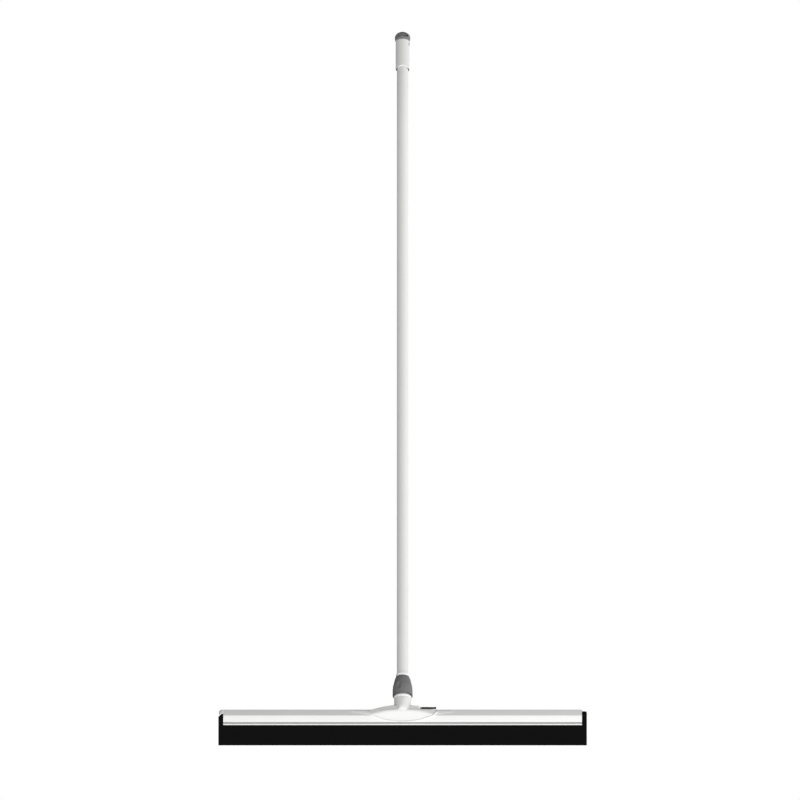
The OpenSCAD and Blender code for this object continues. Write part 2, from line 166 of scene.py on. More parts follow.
# %% Plastics and zinc
# Injection moulded polypropylene: waxy white with a fine mould grain.
white_plastic = grained(
    "moulded_white_polypropylene", "#f7f7f6", "#f2f2f0",
    rough=(0.4, 0.52), grain_mm=0.8, lift_mm=0.02, IOR=1.49,
)
# The grip sleeve is the same plastic with a touch of grey, which keeps hand marks from showing.
sleeve_plastic = grained(
    "moulded_pale_grey_polypropylene", "#e6e6e5", "#dfdfdd",
    rough=(0.4, 0.52), grain_mm=0.8, lift_mm=0.02, IOR=1.49,
)
# Glass-filled nylon, moulded with a coarse grain for grip: mid grey, nearly matt.
nut_plastic = grained(
    "moulded_grey_nylon", "#7f7f80", "#747475",
    rough=(0.5, 0.64), grain_mm=0.7, lift_mm=0.05, patch_mm=18, IOR=1.53,
)
# Moulded polypropylene in dark grey: satin, with the grain of the nut but shallower.
dark_plastic = grained(
    "moulded_dark_grey_polypropylene", "#7a7a7b", "#6e6e6f",
    rough=(0.42, 0.55), grain_mm=0.7, lift_mm=0.03, patch_mm=14, IOR=1.49,
)
# The cam lever is acetal, a slippery plastic, in charcoal: smoother and darker than the cap.
lever_plastic = grained(
    "moulded_charcoal_acetal", "#202021", "#1a1a1b",
    rough=(0.36, 0.46), grain_mm=0.7, lift_mm=0.02, patch_mm=8, IOR=1.48,
)
# Extruded rigid vinyl: black, with die lines that run along the strip.
black_plastic = grained(
    "extruded_black_vinyl", "#0c0c0c", "#070707",
    rough=(0.5, 0.65), grain_mm=1.2, lift_mm=0.03, patch_mm=6, stretch=(0.02, 1, 1), Specular_IOR_Level=0.1,
)
# Zinc-plated steel: bright grey metal with a faint mottle from the bath.
zinc_steel = grained(
    "zinc_plated_steel", "#c9ccd0", "#b4b7bb",
    rough=(0.24, 0.38), grain_mm=0.5, lift_mm=0.01, patch_mm=3, Metallic=1.0,
)
print("plastics from", white_plastic.name, "to", black_plastic.name, "and", zinc_steel.name)

# %% [markdown]
# The pinch groove of the frame lies deep in shade, and that shade is painted into its colour. A mask made
# from the depth and the height in Object coordinates lays painted shade, a grey, over the white coat inside
# the pinch groove of the frame.

# %% Painted shade in the groove
GROOVE_SHADE_FROM_Y, GROOVE_SHADE_FULL_Y, GROOVE_SHADE_Z, GROOVE_SHADE_HALF = 15.2, 14.4, 45.8, 2.2


def recoloured(material, colour, *shares):
    """Lays a colour over a material's own, by the product of some shares."""
    tree = material.node_tree
    shader = tree.nodes["Principled BSDF"]
    share = shares[0]
    for other in shares[1:]:
        share = add_node(tree, "ShaderNodeMath", {0: share, 1: other}, operation="MULTIPLY").outputs[0]
    own = shader.inputs["Base Color"].links[0].from_socket
    mixed = add_node(tree, "ShaderNodeMix", {0: share, 6: own, 7: linear(colour)}, data_type="RGBA")
    tree.links.new(mixed.outputs[2], shader.inputs["Base Color"])


tree = coated_sheet.node_tree
place = add_node(tree, "ShaderNodeTexCoord").outputs["Object"]
at = add_node(tree, "ShaderNodeSeparateXYZ", {0: place}).outputs
depth = add_node(tree, "ShaderNodeMath", {0: at["Y"]}, operation="ABSOLUTE").outputs[0]
sunk = add_node(tree, "ShaderNodeMapRange", {0: depth, 1: GROOVE_SHADE_FROM_Y * MM, 2: GROOVE_SHADE_FULL_Y * MM}).outputs[0]
level = add_node(
    tree, "ShaderNodeMath", {0: at["Z"], 1: GROOVE_SHADE_Z * MM, 2: GROOVE_SHADE_HALF * MM}, operation="COMPARE"
).outputs[0]
# Painted shade: grey laid over the white coat inside the pinch groove.
recoloured(coated_sheet, "#aeaeae", sunk, level)
# Printed below: how far the painted groove shade reaches up and down from its middle.
print("coat is thin", GROOVE_SHADE_HALF, "mm up and down from", GROOVE_SHADE_Z, "mm above the floor")

# %% [markdown]
# Light is painted into the slot in the cap: its upper wall lies in the shade of the slot and is painted pale.
# That wall is given by its height along the handle and its distance from the axis, so the Object coordinates
# are first turned into the handle's own.

# %% Painted light in the cap's slot
SLOT_S, SLOT_HALF, SLOT_WALL_UP, SLOT_WALL_HALF = 1526.8, 11.8, 2.4, 1.4
SLOT_LIGHT_FROM_R, SLOT_LIGHT_FULL_R = 15.0, 5.0


def handle_place(tree):
    """Sockets for the place to the side, the distance from the handle's axis and the height along it."""
    place = add_node(tree, "ShaderNodeTexCoord").outputs["Object"]
    turn = {"Vector": place, "Location": AXIS_FOOT, "Rotation": (-LEAN, 0, 0)}
    own = add_node(tree, "ShaderNodeMapping", turn, vector_type="TEXTURE").outputs[0]
    at = add_node(tree, "ShaderNodeSeparateXYZ", {0: own}).outputs
    to_side = add_node(tree, "ShaderNodeMath", {0: at["X"]}, operation="ABSOLUTE").outputs[0]
    flat = add_node(tree, "ShaderNodeCombineXYZ", {0: at["X"], 1: at["Y"]}).outputs[0]
    out = add_node(tree, "ShaderNodeVectorMath", {0: flat}, operation="LENGTH").outputs["Value"]
    return to_side, out, at["Z"]


tree = dark_plastic.node_tree
to_side, out, height = handle_place(tree)
wall_band = {0: height, 1: (SLOT_S + SLOT_WALL_UP) * MM, 2: SLOT_WALL_HALF * MM}
upper_wall = add_node(tree, "ShaderNodeMath", wall_band, operation="COMPARE").outputs[0]
deep = add_node(tree, "ShaderNodeMapRange", {0: out, 1: SLOT_LIGHT_FROM_R * MM, 2: SLOT_LIGHT_FULL_R * MM}).outputs[0]
between = add_node(tree, "ShaderNodeMath", {0: to_side, 1: SLOT_HALF * MM}, operation="LESS_THAN").outputs[0]
# Painted light: pale colour on the upper wall of the slot, which lies in shade.
recoloured(dark_plastic, "#f0f0f0", deep, upper_wall, between)
# Printed below: where the slot with painted light sits up the handle.
print("worn slot", SLOT_S, "mm up the handle")

# %% [markdown]
# Shade is painted into the colour of the lower rim of the nut and of the inside of the sleeve's mouth, two
# places that lie in shade. The same coordinates give both places: the rim is all that lies low on the nut,
# and the painted shade in the mouth lies low, inside the wall and at the two sides, where the mouth is
# hollow.

# %% Painted shade on nut and sleeve
RIM_SHADE_FROM_S, RIM_SHADE_FULL_S = 39.4, 38.4
SLEEVE_S, MOUTH_DEEP, MOUTH_SHADE_OVER, MOUTH_SHADE_R, MOUTH_SHADE_SIDE = 1453.3, 5.0, 0.3, 13.75, 11.0
tree = nut_plastic.node_tree
to_side, out, height = handle_place(tree)
rim = add_node(tree, "ShaderNodeMapRange", {0: height, 1: RIM_SHADE_FROM_S * MM, 2: RIM_SHADE_FULL_S * MM}).outputs[0]
# Painted shade: dark grey on the lower rim of the nut.
recoloured(nut_plastic, "#565657", rim)

tree = sleeve_plastic.node_tree
to_side, out, height = handle_place(tree)
mouth_shade_top = (SLEEVE_S + MOUTH_DEEP + MOUTH_SHADE_OVER) * MM
low = add_node(tree, "ShaderNodeMath", {0: height, 1: mouth_shade_top}, operation="LESS_THAN").outputs[0]
inner = add_node(tree, "ShaderNodeMath", {0: out, 1: MOUTH_SHADE_R * MM}, operation="LESS_THAN").outputs[0]
beside = add_node(tree, "ShaderNodeMath", {0: to_side, 1: MOUTH_SHADE_SIDE * MM}, operation="GREATER_THAN")
# Painted shade: dark grey inside the hollow of the sleeve's mouth, at its two sides.
recoloured(sleeve_plastic, "#4a4a4a", low, inner, beside.outputs[0])
# Printed below: the heights of the painted shade on the nut's rim and in the sleeve's mouth.
print("dirty rim", RIM_SHADE_FULL_S, "mm and dirty mouth", SLEEVE_S, "mm up the handle")

# %% [markdown]
# Moss rubber is cellular rubber: a black skin cut from a foamed sheet, so its faces are dull and full of tiny
# open cells. Real cells are about a third of a millimetre. They are drawn at about one millimetre, because
# finer ones would not show in the render. A cell texture gives the pits and a noise gives the dull mottling.

# %% Moss rubber
FOAM_CELL, PIT_DEEP = 1.1, 0.18
PIT_FLOOR, PIT_RIM = 0.12, 0.42
moss_rubber = grained(
    "cut_moss_rubber", "#0f0f0f", "#080808",
    rough=(0.78, 0.95), grain_mm=0.6, lift_mm=0.05, patch_mm=9, IOR=1.52, Specular_IOR_Level=0.06,
)
tree = moss_rubber.node_tree
shader = tree.nodes["Principled BSDF"]
place = add_node(tree, "ShaderNodeTexCoord").outputs["Object"]
foam = add_node(
    tree, "ShaderNodeTexVoronoi", {"Vector": place, "Scale": per_metre(FOAM_CELL), "Randomness": 1.0}
)
pits = add_node(tree, "ShaderNodeMapRange", {0: foam.outputs["Distance"], 1: PIT_FLOOR, 2: PIT_RIM})
skin = shader.inputs["Normal"].links[0].from_socket
pitted = add_node(
    tree,
    "ShaderNodeBump",
    {"Height": pits.outputs[0], "Distance": PIT_DEEP * MM, "Strength": 1.0, "Normal": skin},
)
tree.links.new(pitted.outputs["Normal"], shader.inputs["Normal"])
print("cells per centimetre:", round(10 / FOAM_CELL, 1))

# %% [markdown]
# Every finished piece is set on the body it moves with, and the CAD node it takes the place of is hidden. One
# helper does that and gives the piece its material. The pivot pin and the plug in the tube keep their CAD
# solids, so they only get their finish.

# %% Seat a piece on its body
def link(name, mesh):
    """New object at the origin that shows this mesh."""
    made = bpy.data.objects.new(name, mesh)
    bpy.context.scene.collection.objects.link(made)
    return made


def seat(piece, material, body, slot, *stands_for):
    """Gives a piece its material and its body and hides the CAD nodes it stands for. The finish slot is not
    used.
    """
    piece.data.materials.clear()
    piece.data.materials.append(material)
    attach(piece, body)
    if stands_for:
        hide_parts(*stands_for)
    print(piece.name, "rides on", body, "with", len(piece.data.polygons), "faces")


for node, material in (("lever_pin", zinc_steel), ("tube_plug", dark_plastic)):
    nodes[node].material_slots[0].material = material
print("finished in place: lever_pin, tube_plug")

# %% [markdown]
# The carrier between the two rubber strips is a plain extrusion, so a copy of its CAD solid already has the
# shape and only needs its edges broken to catch the light. A Bevel modifier does that. Modifiers are live
# until they are baked in: baking takes the evaluated object, makes a plain mesh of it and drops the
# modifiers, so the mesh holds exactly what was shaped.

# %% Carrier with broken edges
MERGE = 0.002 * MM


def own_copy(name, node):
    """Copy of a CAD node's mesh with its loose triangles merged."""
    mesh = nodes[node].data.copy()
    for leftover in ("custom_normal", "sharp_edge", "sharp_face"):
        if leftover in mesh.attributes:
            mesh.attributes.remove(mesh.attributes[leftover])
    work = bmesh.new()
    work.from_mesh(mesh)
    bmesh.ops.remove_doubles(work, verts=work.verts, dist=MERGE)
    work.to_mesh(mesh)
    work.free()
    return link(name, mesh)


def baked(piece):
    """Replaces a piece's mesh by what its modifiers make of it."""
    seen = piece.evaluated_get(bpy.context.evaluated_depsgraph_get())
    mesh = bpy.data.meshes.new_from_object(seen)
    old = piece.data
    piece.modifiers.clear()
    piece.data = mesh
    mesh.name = piece.name
    if old.users == 0:
        bpy.data.meshes.remove(old)
    return piece


def broken_edges(piece, width_mm, sharp=35):
    """Rounds the sharp edges of a piece and shades it smooth."""
    bevel = piece.modifiers.new("Broken edges", "BEVEL")
    bevel.width = width_mm * MM
    bevel.segments = 3
    bevel.limit_method = "ANGLE"
    bevel.angle_limit = math.radians(sharp)
    baked(piece)
    piece.data.shade_smooth()
    piece.data.set_sharp_from_angle(angle=math.radians(sharp))
    return piece


carrier = broken_edges(own_copy("cassette_carrier_extrusion", "cassette_carrier"), width_mm=0.3)
seat(carrier, black_plastic, "cassette", "black_plastic", "cassette_carrier")

# %% [markdown]
# Moulded parts have no sharp edge: the mould is rounded everywhere and the melt pulls in a little as it
# cools. Modelling each fillet by hand would take long. Here the CAD solid is copied and merged, remeshed into
# small even cells and smoothed a few times, which rounds every edge, inner ones too, by about the same
# radius. A decimation then thins the cells where the surface is flat.

# %% Soften a CAD solid like a moulding
def melt(piece, passes, group=""):
    """Adds a Smooth modifier, on a vertex group where one is named."""
    smooth = piece.modifiers.new("Melt", "SMOOTH")
    smooth.factor = 0.5
    smooth.iterations = passes
    smooth.vertex_group = group


def even_cells(piece, cell_mm):
    """Adds a Remesh modifier that rebuilds a piece from even cells."""
    remesh = piece.modifiers.new("Cells", "REMESH")
    remesh.mode = "VOXEL"
    remesh.voxel_size = cell_mm * MM


def thinned(piece, keep):
    """Bakes a piece with this share of its faces and shades it smooth."""
    thin = piece.modifiers.new("Thin", "DECIMATE")
    thin.ratio = keep
    baked(piece)
    piece.data.shade_smooth()
    return piece


def moulded(name, node, cell_mm, passes, keep):
    """CAD node with all its edges softened. Keep is the share of the faces left in the end."""
    piece = own_copy(name, node)
    even_cells(piece, cell_mm)
    melt(piece, passes)
    return thinned(piece, keep)


collet = moulded("collet_moulding", "collet", cell_mm=0.3, passes=3, keep=0.6)
seat(collet, white_plastic, "clamp", "white_plastic", "collet")
cam_lever = moulded("cam_lever_moulding", "cam_lever", cell_mm=0.22, passes=4, keep=0.6)
seat(cam_lever, lever_plastic, "lever", "cap_plastic", "cam_lever")

# %% [markdown]
# Some turned forms are easier to correct than to build: a rule takes each point's distance from the handle
# axis, its place to the side and its height along the handle, and gives a new distance and height. The nut
# is the first of them. Its shoulder is drawn in towards the bore, and its rim comes down a little on its left
# and right. The bore itself stays where it is, because the collet fits in it.

# %% Lock nut
ON_AXIS = 0.001
NUT_S, NUT_BORE_R, NUT_MOUTH_R, BORE_GAP = 37.3, 15.3, 13.15, 0.25
CONE_FOOT, CONE_TOP = 61.6, 74.5
SHOULDER_FOOT, SHOULDER_TOP, SHOULDER_IN = 58, 66, 0.2
CROWN_FOOT, CROWN_TOP, CROWN_IN = 74, 82, 0.7
RIM_HIGH, RIM_DROP = 6, 1.0


def ramp(value, start, end):
    """0 at start, 1 at end and a straight line between."""
    return min(1, max(0, (value - start) / (end - start)))


def reshaped(piece, rule):
    """Moves a piece's points by a rule on their distance, their share to the side and their height."""
    to_handle = handle_frame.inverted()
    for vertex in piece.data.vertices:
        across, depth, height = (to_handle @ vertex.co) / MM
        out = max(math.hypot(across, depth), ON_AXIS)
        new_out, new_height = rule(out, abs(across) / out, height)
        grown = new_out / out
        vertex.co = handle_frame @ (Vector((across * grown, depth * grown, new_height)) * MM)


def sloping_shoulder(out, side, height):
    """Draws the upper part of the nut in towards its bore and lowers its rim at the sides."""
    clear = NUT_BORE_R + BORE_GAP - (NUT_BORE_R - NUT_MOUTH_R) * ramp(height, CONE_FOOT, CONE_TOP)
    if out < clear:
        return out, height
    shoulder = SHOULDER_IN * ramp(height, SHOULDER_FOOT, SHOULDER_TOP)
    crown = CROWN_IN * ramp(height, CROWN_FOOT, CROWN_TOP)
    drop = RIM_DROP * side ** 2 * ramp(height, NUT_S + RIM_HIGH, NUT_S)
    return clear + (out - clear) * (1 - shoulder - crown), height - drop


lock_nut = moulded("lock_nut_moulding", "lock_nut", cell_mm=0.35, passes=4, keep=0.6)
reshaped(lock_nut, sloping_shoulder)
seat(lock_nut, nut_plastic, "nut", "nut_plastic", "lock_nut")

# %% [markdown]
# The grip at the top end is a sleeve over the tube with a cap over the sleeve. Two more rules finish them:
# the sleeve's hollow mouth gets a thin wall and a sloping lip at front and back, and the skirt of the cap
# draws in and comes down a little on its left and right.

# %% Grip sleeve and end cap
SLEEVE_R, MOUTH_IN_R, MOUTH_RISE, MOUTH_FADE, WALL_LOSS = 14.2, 12.6, 4.0, 1, 0.54
LIP_HIGH, LIP_DROP, LIP_SLOPE, DROP_FROM, DROP_FULL = 3.0, 2.0, 0.42, 14, 4
CAP_S, SKIRT_HIGH, SKIRT_IN, SKIRT_DROP, SKIRT_GAP = 1518.3, 5, 0.6, 1.1, 0.15


def lipped_mouth(out, side, height):
    """Thins the wall round the hollow in the sleeve's mouth and slopes its front and back to a lip."""
    if out < MOUTH_IN_R:
        return out, height
    hollow_top = SLEEVE_S + MOUTH_DEEP
    loss = WALL_LOSS * ramp(height, hollow_top, hollow_top - MOUTH_FADE)
    thin = SLEEVE_R - (SLEEVE_R - out) * (1 - loss)
    facing = 1 - side ** 2
    lower = height - LIP_DROP * facing * ramp(height, SLEEVE_S + DROP_FROM, SLEEVE_S + DROP_FULL)
    edge = SLEEVE_S + (MOUTH_RISE - LIP_DROP) * facing
    return thin - LIP_SLOPE * facing * max(0, edge + LIP_HIGH - lower), lower


def drawn_skirt(out, side, height):
    """Draws the lower end of the cap's skirt in, and down at its sides."""
    clear = SLEEVE_R + SKIRT_GAP
    if out < clear:
        return out, height
    near = ramp(height, CAP_S + SKIRT_HIGH, CAP_S)
    return clear + (out - clear) * (1 - SKIRT_IN * near ** 2), height - SKIRT_DROP * near * side ** 2


grip_sleeve = moulded("grip_sleeve_moulding", "grip_sleeve", cell_mm=0.35, passes=4, keep=0.5)
reshaped(grip_sleeve, lipped_mouth)
seat(grip_sleeve, sleeve_plastic, "handle", "white_plastic", "grip_sleeve")
end_cap = moulded("end_cap_moulding", "end_cap", cell_mm=0.35, passes=4, keep=0.6)
reshaped(end_cap, drawn_skirt)
seat(end_cap, dark_plastic, "handle", "cap_plastic", "end_cap")

# %% [markdown]
# The neck of the saddle stands over the roof of the frame, and what is added to it must not reach down into
# the frame. Two small rules help with that: one gives a point round the handle axis, the other lifts a point
# that lies too low to just above the roof.

# %% Points on the neck and over the roof
SHOULDER_Z, RIDGE_Z, WALL_Y, RIDGE_Y = 61.0, 72.5, 16.3, 6.0
ROOF_SLOPE = (RIDGE_Z - SHOULDER_Z) / (WALL_Y - RIDGE_Y)
ROOF_GAP = 1.0


def on_handle(r, turn, height):
    """Point at a distance in mm from the handle axis, a turn from the front and a height in mm along it."""
    return handle_frame @ (Vector((r * math.sin(turn), -r * math.cos(turn), height)) * MM)


def over_roof(point):
    """Lifts a point that would lie in the frame to just above its roof."""
    inward = WALL_Y + ROOF_GAP - abs(point.y) / MM
    if inward > 0:
        roof_z = min(RIDGE_Z, SHOULDER_Z + ROOF_SLOPE * inward) + ROOF_GAP
        point.z = max(point.z, roof_z * MM)
    return point


print("roof rises", round(ROOF_SLOPE, 3), "mm for each mm inwards")

# %% [markdown]
# The neck doesn't stand on its boat like a pipe: its front flares towards the blade and runs out flush with
# the flat front. Ring by ring, a crescent of skin is drawn in front of the neck, pushed forward more and more
# towards its foot. As it nears the plane of the flat front it bends into it and never passes it.

# %% Flared front of the neck
NECK_R, CORE_R, FLARE_TOP, FLARE = 17.2, 14.5, 33.0, 7.5
FLARE_HALF = math.radians(68)
FLAT_Y, SOFT = -18.8, 1.4
RINGS, STEPS = 12, 24


def as_mesh(name, work):
    """Turns a finished bmesh into a mesh."""
    mesh = bpy.data.meshes.new(name)
    work.to_mesh(mesh)
    work.free()
    return mesh


work = bmesh.new()
rows = []
for ring in range(RINGS + 1):
    height = FLARE_TOP * ring / RINGS
    skin, core = [], []
    for step in range(STEPS + 1):
        turn = FLARE_HALF * (2 * step / STEPS - 1)
        push = FLARE * (1 - height / FLARE_TOP) * math.cos(turn / FLARE_HALF * math.pi / 2) ** 2
        point = on_handle(NECK_R, turn, height)
        behind = point.y / MM - push - FLAT_Y
        point.y = (FLAT_Y + (behind + math.hypot(behind, 2 * SOFT)) / 2) * MM
        skin.append(work.verts.new(over_roof(point)))
        core.append(work.verts.new(over_roof(on_handle(CORE_R, turn, height))))
    rows.append(skin + core[::-1])
around = len(rows[0])
for low, high in zip(rows, rows[1:]):
    for i in range(around):
        work.faces.new((low[i], low[(i + 1) % around], high[(i + 1) % around], high[i]))
for row in (rows[0], rows[-1]):
    for i in range(STEPS):
        work.faces.new((row[i], row[i + 1], row[around - 2 - i], row[around - 1 - i]))
bmesh.ops.recalc_face_normals(work, faces=work.faces)
flare_mesh = as_mesh("neck_flare", work)
print("flare has", len(flare_mesh.polygons), "faces")

# %% [markdown]
# The crescent and the CAD solid are rebuilt together from small cells, which melts them into one skin. The
# flat front swells a little upwards and downwards in its middle. The upper front of the boat and the foot of
# the neck are then smoothed much more than the rest, through a vertex group, because the real moulding has a
# wide soft blend there and crisp lines everywhere else. Each pair of values below says where a share is 0 and
# where it is 1.

# %% Saddle
BEAD_S, BEAD_HALF, BEAD_STRETCH, BEAD_PROUD = 34.5, 4, 1.4, 0.05
LENS_Z, LENS_SWELL = 62.3, 1.9
SWELL_X, SWELL_Y = (60, 35), (-9, -18)
SWELL_UP, SWELL_END, SWELL_DOWN = (LENS_Z + 2, LENS_Z + 7), (80, 71), (LENS_Z - 2, LENS_Z - 6)
BLEND_X, BLEND_Y, BLEND_LOW, BLEND_HIGH = (60, 48), (-9, -11), (66, 70), (92, 84)


def add_mesh(piece, mesh):
    """Adds another mesh to a piece's own."""
    work = bmesh.new()
    work.from_mesh(piece.data)
    work.from_mesh(mesh)
    work.to_mesh(piece.data)
    work.free()


def fuller_bead(out, side, height):
    """Draws the lower half of the bead on top of the neck out towards the neck."""
    if out > NECK_R + BEAD_PROUD and BEAD_S - BEAD_HALF < height < BEAD_S:
        return out, BEAD_S - BEAD_STRETCH * (BEAD_S - height)
    return out, height


saddle = own_copy("saddle_moulding", "saddle")
add_mesh(saddle, flare_mesh)
bpy.data.meshes.remove(flare_mesh)
even_cells(saddle, cell_mm=0.45)
baked(saddle)
blend = saddle.vertex_groups.new(name="blend")
for vertex in saddle.data.vertices:
    x, y, z = vertex.co / MM
    front = ramp(y, *SWELL_Y) * ramp(abs(x), *SWELL_X)
    above = ramp(z, *SWELL_UP) * ramp(z, *SWELL_END)
    below = ramp(z, *SWELL_DOWN)
    vertex.co.z += LENS_SWELL * front * (above - below) * MM
    share = ramp(y, *BLEND_Y) * ramp(z, *BLEND_LOW) * ramp(z, *BLEND_HIGH) * ramp(abs(x), *BLEND_X)
    if share > 0:
        blend.add([vertex.index], share, "REPLACE")
melt(saddle, passes=3)
melt(saddle, passes=120, group="blend")
thinned(saddle, keep=0.3)
reshaped(saddle, fuller_bead)
seat(saddle, white_plastic, "head", "white_plastic", "saddle")

# %% [markdown]
# The handle is a drawn tube with a thin wall. A ring of the wall's section is spun round the axis, which
# gives clean rows of faces, and a bevel breaks the sawn ends as a deburring tool does.

# %% Tube
TUBE_FOOT, TUBE_TOP, TUBE_OUT, TUBE_IN = 16.3, 1491.3, 11.75, 10.55
ROW_STEP, LAST_ROW = 100, 1300


def spun(name, outline, steps, closed, place=Matrix.Identity(4)):
    """Outline of (radius, height) points in mm, spun round the upright axis and put in its place."""
    work = bmesh.new()
    ring = [work.verts.new((r * MM, 0, s * MM)) for r, s in outline]
    ends = ring[1:] + ring[:1] if closed else ring[1:]
    edges = [work.edges.new(pair) for pair in zip(ring, ends)]
    bmesh.ops.spin(work, geom=ring + edges, axis=(0, 0, 1), angle=2 * math.pi, steps=steps, use_merge=True)
    bmesh.ops.remove_doubles(work, verts=work.verts, dist=MERGE)
    bmesh.ops.recalc_face_normals(work, faces=work.faces)
    bmesh.ops.transform(work, matrix=place, verts=work.verts)
    return link(name, as_mesh(name, work))


section = [(TUBE_IN, TUBE_FOOT), (TUBE_OUT, TUBE_FOOT)]
section += [(TUBE_OUT, s) for s in range(ROW_STEP, LAST_ROW + 1, ROW_STEP)]
section += [(TUBE_OUT, TUBE_TOP), (TUBE_IN, TUBE_TOP)]
tube = spun("handle_tube_drawn", section, steps=128, closed=True, place=handle_frame)
broken_edges(tube, width_mm=0.3)
seat(tube, coated_tube, "handle", "coated_tube", "handle_tube")

# %% [markdown]
# The frame is roll-formed: a flat steel strip runs through rollers that bend it, line by line, into a channel
# with a roof, two walls, a pinch groove and a lip. The same rule makes it here, and it starts from a line of
# corner points across the strip. Each point carries the radius of its bend as an attribute.

# %% Line of bends
LIP_Z, PINCH_Z, GROOVE_Z, GROOVE_TOP_Z, WALL_Z = 41.5, 44.1, 44.5, 47.7, 47.8
LIP_Y, GROOVE_Y = 15.8, 13.5
WALL_BEND, GROOVE_BEND, ROOF_BEND = 1.3, 0.3, 2
FRAME_END = 365.0
half = [
    (LIP_Y, LIP_Z, 0),
    (LIP_Y, PINCH_Z, WALL_BEND),
    (GROOVE_Y, GROOVE_Z, GROOVE_BEND),
    (GROOVE_Y, GROOVE_TOP_Z, GROOVE_BEND),
    (WALL_Y, WALL_Z, WALL_BEND),
    (WALL_Y, SHOULDER_Z, ROOF_BEND),
    (RIDGE_Y, RIDGE_Z, ROOF_BEND),
]
corners = half + [(-y, z, r) for y, z, r in reversed(half)]
line = bpy.data.meshes.new("channel_line")
points = [(-FRAME_END * MM, y * MM, z * MM) for y, z, r in corners]
line.from_pydata(points, [(i, i + 1) for i in range(len(points) - 1)], [])
bends = line.attributes.new("bend", "FLOAT", "POINT")
bends.data.foreach_set("value", [r * MM for y, z, r in corners])
print("channel line has", len(corners), "corners")

# %% [markdown]
# Fillet Curve rounds the corners, and the line is then drawn out along X. Geometry Nodes suits this because
# every size stays an input. What is drawn is only the outside of the sheet: extruding its faces inwards gives
# the inside, and the skin itself, turned round, closes the solid.

# %% Roll-formed sheet
FILLET_STEPS = 7


def node_tree(name, **sizes):
    """Geometry Nodes tree with named sizes, and the sockets that hand out its inputs."""
    made = bpy.data.node_groups.new(name, "GeometryNodeTree")
    made.is_modifier = True
    made.interface.new_socket("Geometry", in_out="INPUT", socket_type="NodeSocketGeometry")
    for size, kind in sizes.items():
        made.interface.new_socket(size, in_out="INPUT", socket_type="NodeSocket" + kind)
    made.interface.new_socket("Geometry", in_out="OUTPUT", socket_type="NodeSocketGeometry")
    return made, add_node(made, "NodeGroupInput").outputs


tree, given = node_tree("Roll-formed channel", Length="Float", Sheet="Float", Finish="Material")
bend = add_node(tree, "GeometryNodeInputNamedAttribute", {"Name": "bend"}, data_type="FLOAT")
curve = add_node(tree, "GeometryNodeMeshToCurve", {"Mesh": given["Geometry"]})
rounded = add_node(
    tree,
    "GeometryNodeFilletCurve",
    {
        "Curve": curve.outputs[0],
        "Radius": bend.outputs["Attribute"],
        "Limit Radius": True,
        "Count": FILLET_STEPS,
    },
    mode="POLY",
)
strip = add_node(tree, "GeometryNodeCurveToMesh", {"Curve": rounded.outputs[0]})
run = add_node(tree, "ShaderNodeCombineXYZ", {"X": given["Length"]})
drawn = add_node(
    tree, "GeometryNodeExtrudeMesh", {"Mesh": strip.outputs[0], "Offset": run.outputs[0]}, mode="EDGES"
)
inside = add_node(
    tree,
    "GeometryNodeExtrudeMesh",
    {"Mesh": drawn.outputs["Mesh"], "Offset Scale": given["Sheet"], "Individual": False},
    mode="FACES",
)
outside = add_node(tree, "GeometryNodeFlipFaces", {"Mesh": drawn.outputs["Mesh"]})
solid = add_node(tree, "GeometryNodeJoinGeometry", {"Geometry": inside.outputs["Mesh"]})
tree.links.new(outside.outputs[0], solid.inputs["Geometry"])
whole = add_node(tree, "GeometryNodeMergeByDistance", {"Geometry": solid.outputs[0], "Distance": MERGE})
print("tree of the channel has", len(tree.nodes), "nodes so far")

# %% [markdown]
# Under the saddle the roof has two slots, through which the lobes of the lever press on the carrier, and two
# holes for the screws. A Boolean cuts all four at once, and then the tree runs and leaves a plain mesh.

# %% Slots and screw holes
SHEET = 1.2
LEVER_SLOT, LEVER_SLOT_X, LEVER_SLOT_Y = (10, 4.2, 6), 39.5, 4.1
SCREW_X, SCREW_HOLE_R, HOLE_SIDES, CUT_DEEP = 24, 2.2, 32, 6


def end_tree(tree, shape, finish):
    """Ends a tree with real geometry, its material and the output."""
    real = add_node(tree, "GeometryNodeRealizeInstances", {"Geometry": shape})
    coat = add_node(tree, "GeometryNodeSetMaterial", {"Geometry": real.outputs[0], "Material": finish})
    add_node(tree, "NodeGroupOutput", {"Geometry": coat.outputs[0]})


def grow(piece, tree, **values):
    """Runs a tree on a piece, with its inputs set by their identifiers, and bakes what it makes."""
    modifier = piece.modifiers.new(tree.name, "NODES")
    modifier.node_group = tree
    for item in tree.interface.items_tree:
        if item.in_out == "INPUT" and item.name in values:
            modifier[item.identifier] = values[item.name]
    return baked(piece)


cutters = add_node(tree, "GeometryNodeJoinGeometry")
for sign in (-1, 1):
    slot = add_node(tree, "GeometryNodeMeshCube", {"Size": Vector(LEVER_SLOT) * MM})
    slot_at = Vector((LEVER_SLOT_X, sign * LEVER_SLOT_Y, RIDGE_Z)) * MM
    hole_size = {"Vertices": HOLE_SIDES, "Radius": SCREW_HOLE_R * MM, "Depth": CUT_DEEP * MM}
    hole = add_node(tree, "GeometryNodeMeshCylinder", hole_size)
    hole_at = Vector((sign * SCREW_X, 0, RIDGE_Z)) * MM
    for cutter, spot in ((slot, slot_at), (hole, hole_at)):
        moved = add_node(tree, "GeometryNodeTransform", {"Geometry": cutter.outputs[0], "Translation": spot})
        tree.links.new(moved.outputs[0], cutters.inputs["Geometry"])
cut = add_node(
    tree,
    "GeometryNodeMeshBoolean",
    {"Mesh 1": whole.outputs[0], "Mesh 2": cutters.outputs[0]},
    operation="DIFFERENCE",
)
end_tree(tree, cut.outputs[0], given["Finish"])
channel = link("frame_channel_rolled", line)
grow(channel, tree, Length=2 * FRAME_END * MM, Sheet=SHEET * MM, Finish=coated_sheet)
